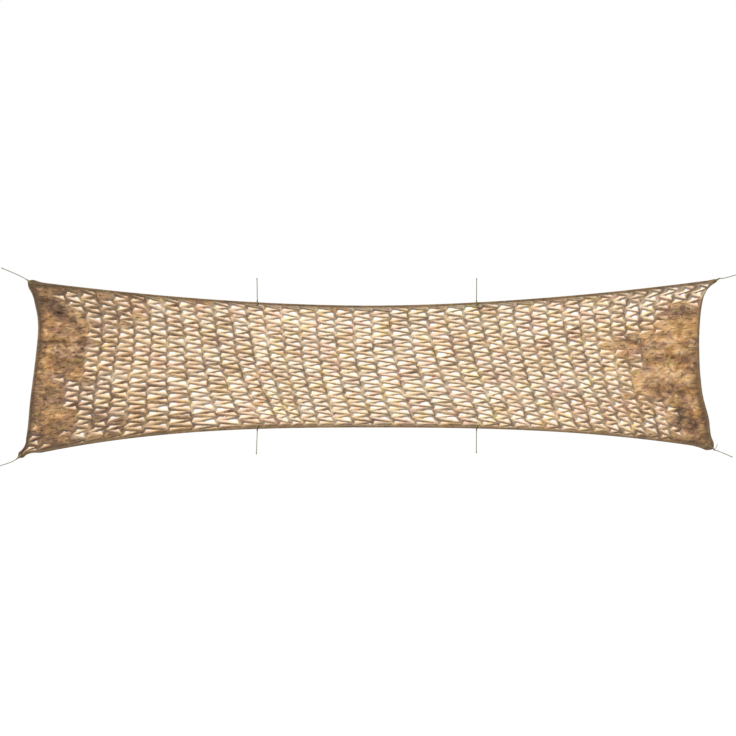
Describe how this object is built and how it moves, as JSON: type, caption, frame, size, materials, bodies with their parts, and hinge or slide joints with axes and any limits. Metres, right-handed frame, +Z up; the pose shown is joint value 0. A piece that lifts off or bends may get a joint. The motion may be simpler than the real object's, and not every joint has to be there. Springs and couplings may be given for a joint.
{
  "type": "camouflage netting",
  "caption": "Long slit-cloth camouflage netting in desert colours, stretched flat between cord ties at its corners and along its long edges",
  "frame": {"origin": "middle of the top hem's outer edge, where the netting hangs from whatever holds its ties", "axes": "+X along the netting to the viewer's right, +Y through the cloth away from the viewer, +Z up"},
  "size_m": [6.557, 0.1011, 1.7646],
  "materials": {
    "camouflage_cloth": "dull printed polyester cloth, tan with golden and reddish brown patches",
    "olive_cord": "dull olive-grey braided cord"
  },
  "bodies": {
    "root": {"net_cloth": "camouflage_cloth", "tie_hitch_top_left": "olive_cord", "tie_hitch_top_right": "olive_cord", "tie_hitch_bottom_left": "olive_cord", "tie_hitch_bottom_right": "olive_cord", "tie_hitch_top_mid_left": "olive_cord", "tie_hitch_top_mid_right": "olive_cord", "tie_hitch_bottom_mid_left": "olive_cord", "tie_hitch_bottom_mid_right": "olive_cord", "tie_cord_top_left": "olive_cord", "tie_cord_top_right": "olive_cord", "tie_cord_bottom_left": "olive_cord", "tie_cord_bottom_right": "olive_cord", "tie_cord_top_mid_left": "olive_cord", "tie_cord_top_mid_right": "olive_cord", "tie_cord_bottom_mid_left": "olive_cord", "tie_cord_bottom_mid_right": "olive_cord", "tie_knot_top_left": "olive_cord", "tie_knot_top_right": "olive_cord", "tie_knot_bottom_left": "olive_cord", "tie_knot_bottom_right": "olive_cord", "tie_knot_top_mid_left": "olive_cord", "tie_knot_top_mid_right": "olive_cord", "tie_knot_bottom_mid_left": "olive_cord", "tie_knot_bottom_mid_right": "olive_cord"}
  },
  "joints": []
}
